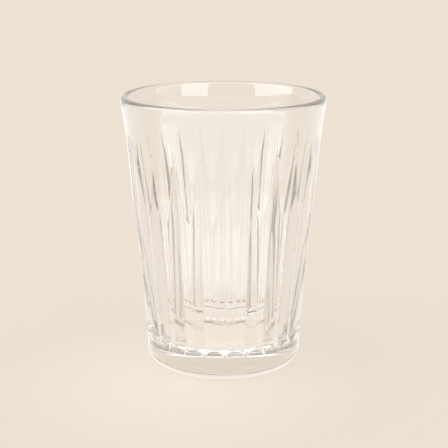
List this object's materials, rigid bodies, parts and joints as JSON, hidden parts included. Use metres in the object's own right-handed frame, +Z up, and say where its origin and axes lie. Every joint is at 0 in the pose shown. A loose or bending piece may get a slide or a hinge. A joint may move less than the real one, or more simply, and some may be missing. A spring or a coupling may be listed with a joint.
{
  "type": "tea glass",
  "caption": "Small tapered tea glass in clear pressed glass, with a plain band under the rim, upright flutes that run out on a plain foot, and a thick base.",
  "frame": {"origin": "centre of the underside, on the plane that the glass stands on", "axes": "+Z up along the glass's axis, towards the open rim; the first flute faces -Y"},
  "size_m": [0.067, 0.067, 0.09],
  "materials": {
    "glass": "clear soda-lime glass, fire polished, with a faint green tint at the rim"
  },
  "bodies": {
    "root": {"glass_tumbler": "glass"}
  },
  "joints": []
}
